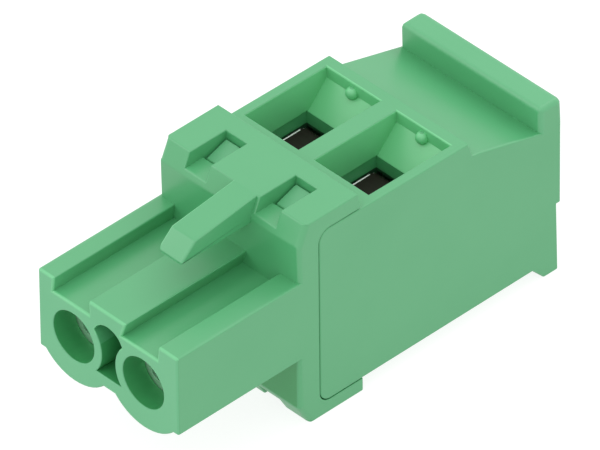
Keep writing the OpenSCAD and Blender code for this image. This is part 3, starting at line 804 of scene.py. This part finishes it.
class CONNECTOR_OT_stage(bpy.types.Operator):
    """Sets the white table, the soft light and the camera"""
    bl_idname = "connector.stage"
    bl_label = "Stage"

    def execute(self, context):
        settings = context.scene.connector_stage
        self.table(settings)
        self.room(settings)
        self.lamps(settings)
        self.camera(settings)
        context.scene.view_settings.view_transform = "Standard"
        return {"FINISHED"}

    def table(self, settings):
        """A frosted white light table: to the eye an even white with the plug's soft shadow."""
        bm = bmesh.new()
        bmesh.ops.create_grid(bm, x_segments=1, y_segments=1, size=3.0)
        mesh = bpy.data.meshes.new("table")
        bm.to_mesh(mesh)
        bm.free()
        table = bpy.data.objects.new("table", mesh)
        bpy.context.scene.collection.objects.link(table)
        material, tree = new_material("White light table")
        path = add(tree, "ShaderNodeLightPath")
        level = add(tree, "ShaderNodeMapRange", {
            "Value": path.outputs["Is Camera Ray"],
            "To Min": settings.table_light, "To Max": settings.table_seen})
        glow = add(tree, "ShaderNodeEmission", {
            "Color": linear(settings.floor), "Strength": level.outputs["Result"]})
        grey = settings.table_grey
        matt = add(tree, "ShaderNodeBsdfDiffuse", {"Color": (grey, grey, grey, 1.0)})
        both = add(tree, "ShaderNodeAddShader", {
            0: glow.outputs["Emission"], 1: matt.outputs["BSDF"]})
        add(tree, "ShaderNodeOutputMaterial", {"Surface": both.outputs["Shader"]})
        mesh.materials.append(material)

    def room(self, settings):
        """A white tent: even light from all sides, and plain white to the camera."""
        world = bpy.data.worlds.new("White tent")
        bpy.context.scene.world = world
        world.use_nodes = True
        tree = world.node_tree
        tree.nodes.clear()
        path = add(tree, "ShaderNodeLightPath")
        # a strength of 1 is white to the camera
        level = add(tree, "ShaderNodeMapRange", {
            "Value": path.outputs["Is Camera Ray"],
            "To Min": settings.room_light, "To Max": 1.0})
        glow = add(tree, "ShaderNodeBackground", {
            "Color": (1.0, 1.0, 1.0, 1.0), "Strength": level.outputs["Result"]})
        add(tree, "ShaderNodeOutputWorld", {"Surface": glow.outputs["Background"]})

    def lamps(self, settings):
        """Three soft round lamps, each turned to the plug; places and sizes are in metres."""
        for name, place, size, power in (
                ("back lamp", (0.0, 0.30, 0.28), 0.22, settings.back_lamp),
                ("front lamp", (-0.25, -0.25, 0.20), 0.22, settings.front_lamp),
                ("high lamp", (0.03, -0.20, 0.36), 0.25, settings.high_lamp)):
            lamp = bpy.data.lights.new(name, "AREA")
            lamp.shape = "DISK"
            lamp.size = size
            lamp.energy = power
            thing = bpy.data.objects.new(name, lamp)
            thing.location = place
            thing.rotation_euler = (-Vector(place)).to_track_quat("-Z", "Y").to_euler()
            bpy.context.scene.collection.objects.link(thing)

    def camera(self, settings):
        """The camera, with the photograph's view of the plug."""
        az, el, roll = settings.azimuth, settings.elevation, settings.roll
        back = Vector((math.sin(az) * math.cos(el), -math.cos(az) * math.cos(el), math.sin(el)))
        right = Vector((math.cos(az), math.sin(az), 0.0))
        up = back.cross(right)
        turned_right = right * math.cos(roll) + up * math.sin(roll)
        turned_up = up * math.cos(roll) - right * math.sin(roll)
        place = Vector(settings.aim) * MM + back * settings.distance
        data = bpy.data.cameras.new("camera")
        data.lens = settings.lens
        data.sensor_width = 36.0
        data.clip_start = 0.05
        camera = bpy.data.objects.new("camera", data)
        camera.matrix_world = Matrix((
            (turned_right.x, turned_up.x, back.x, place.x),
            (turned_right.y, turned_up.y, back.y, place.y),
            (turned_right.z, turned_up.z, back.z, place.z),
            (0.0, 0.0, 0.0, 1.0)))
        bpy.context.scene.collection.objects.link(camera)
        bpy.context.scene.camera = camera


class CONNECTOR_PT_panel(bpy.types.Panel):
    """Lists the pieces of the terminal block"""
    bl_idname = "CONNECTOR_PT_panel"
    bl_label = "Terminal block"
    bl_space_type = "VIEW_3D"
    bl_region_type = "UI"
    bl_category = "Terminal block"

    def draw(self, context):
        for operator in OPERATORS:
            self.layout.operator(operator.bl_idname)
        for group in (context.scene.connector_housing, context.scene.connector_metal,
                      context.scene.connector_stage):
            box = self.layout.box()
            for name in group.bl_rna.properties.keys():
                if name not in ("name", "rna_type"):
                    box.prop(group, name)


GROUPS = {"connector_housing": HousingSettings, "connector_metal": MetalSettings,
          "connector_stage": StageSettings}
OPERATORS = (CONNECTOR_OT_front_housing, CONNECTOR_OT_rear_housing, CONNECTOR_OT_contacts,
             CONNECTOR_OT_cage_springs, CONNECTOR_OT_stage)


def register():
    for name, group in GROUPS.items():
        bpy.utils.register_class(group)
        setattr(bpy.types.Scene, name, bpy.props.PointerProperty(type=group))
    for thing in OPERATORS + (CONNECTOR_PT_panel,):
        bpy.utils.register_class(thing)


def unregister():
    for thing in reversed(OPERATORS + (CONNECTOR_PT_panel,)):
        bpy.utils.unregister_class(thing)
    for name, group in reversed(list(GROUPS.items())):
        delattr(bpy.types.Scene, name)
        bpy.utils.unregister_class(group)


def main():
    register()
    bpy.ops.connector.stage()
    bpy.ops.connector.front_housing()
    bpy.ops.connector.rear_housing()
    bpy.ops.connector.contacts()
    bpy.ops.connector.cage_springs()


if __name__ == "__main__":
    main()
